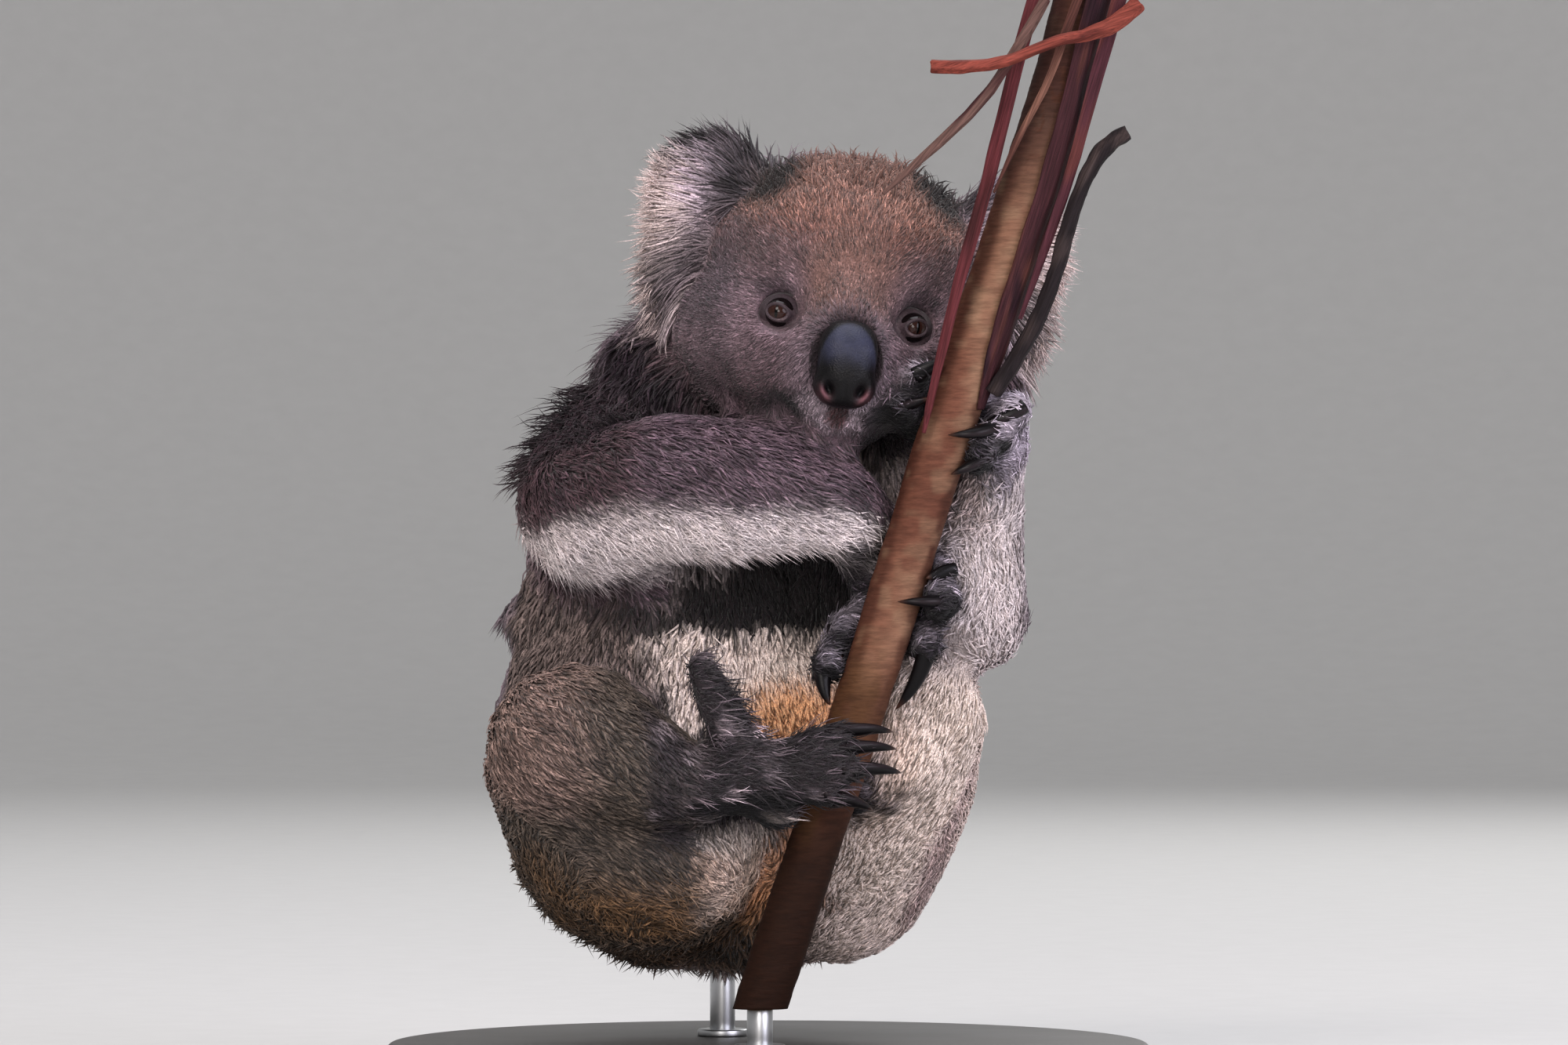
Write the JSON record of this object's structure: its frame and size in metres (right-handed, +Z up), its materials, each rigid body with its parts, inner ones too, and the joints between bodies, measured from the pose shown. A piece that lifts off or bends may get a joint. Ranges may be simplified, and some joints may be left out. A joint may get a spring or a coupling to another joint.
{
  "type": "koala clinging to a cut length of thin trunk, still museum model",
  "caption": "Life-size still koala hugging a slanting length of thin gum trunk, held by a round display base with short rods.",
  "frame": {"origin": "middle of the display base's underside, on the surface it stands on", "axes": "+Z up, -Y towards the animal's front, +X to the animal's left"},
  "size_m": [0.36, 0.36, 0.5239],
  "materials": {
    "fur": "dense woolly coat, grey-brown, cream below",
    "paw_fur": "short dark wet fur with silver tips",
    "eye": "wet dark brown eye",
    "nose_leather": "bare slate-black nose skin",
    "claw_horn": "black horn claw",
    "trunk_bark": "smooth tan gum bark with fine cross wrinkles",
    "dry_bark": "dark red-brown peeling bark",
    "board_paint": "painted display board",
    "steel": "brushed rod"
  },
  "bodies": {
    "root": {"bark_curl": "dry_bark", "bark_peel": "dry_bark", "bark_sheet": "dry_bark", "bark_strip_edge": "dry_bark", "bark_strip_left": "dry_bark", "bark_strip_shred": "dry_bark", "belly": "fur", "chest": "fur", "claw_foot_l_2": "claw_horn", "claw_foot_l_3": "claw_horn", "claw_foot_l_4": "claw_horn", "claw_foot_l_5": "claw_horn", "claw_foot_r_2": "claw_horn", "claw_foot_r_3": "claw_horn", "claw_foot_r_4": "claw_horn", "claw_foot_r_5": "claw_horn", "claw_hand_l_1": "claw_horn", "claw_hand_l_2": "claw_horn", "claw_hand_l_3": "claw_horn", "claw_hand_l_4": "claw_horn", "claw_hand_l_5": "claw_horn", "claw_hand_r_1": "claw_horn", "claw_hand_r_2": "claw_horn", "claw_hand_r_3": "claw_horn", "claw_hand_r_4": "claw_horn", "claw_hand_r_5": "claw_horn", "ear_l": "fur", "ear_r": "fur", "eye_l": "eye", "eye_r": "eye", "foot_l": "paw_fur", "foot_r": "paw_fur", "forearm_l": "fur", "forearm_r": "fur", "hand_l": "paw_fur", "hand_r": "paw_fur", "head": "fur", "neck": "fur", "nose": "nose_leather", "perch": "trunk_bark", "perch_branch": "dry_bark", "rump": "fur", "shin_l": "fur", "shin_r": "fur", "stand_base": "board_paint", "stand_rod_body": "steel", "stand_rod_perch": "steel", "thigh_l": "fur", "thigh_r": "fur", "upper_arm_l": "fur", "upper_arm_r": "fur"}
  },
  "joints": []
}
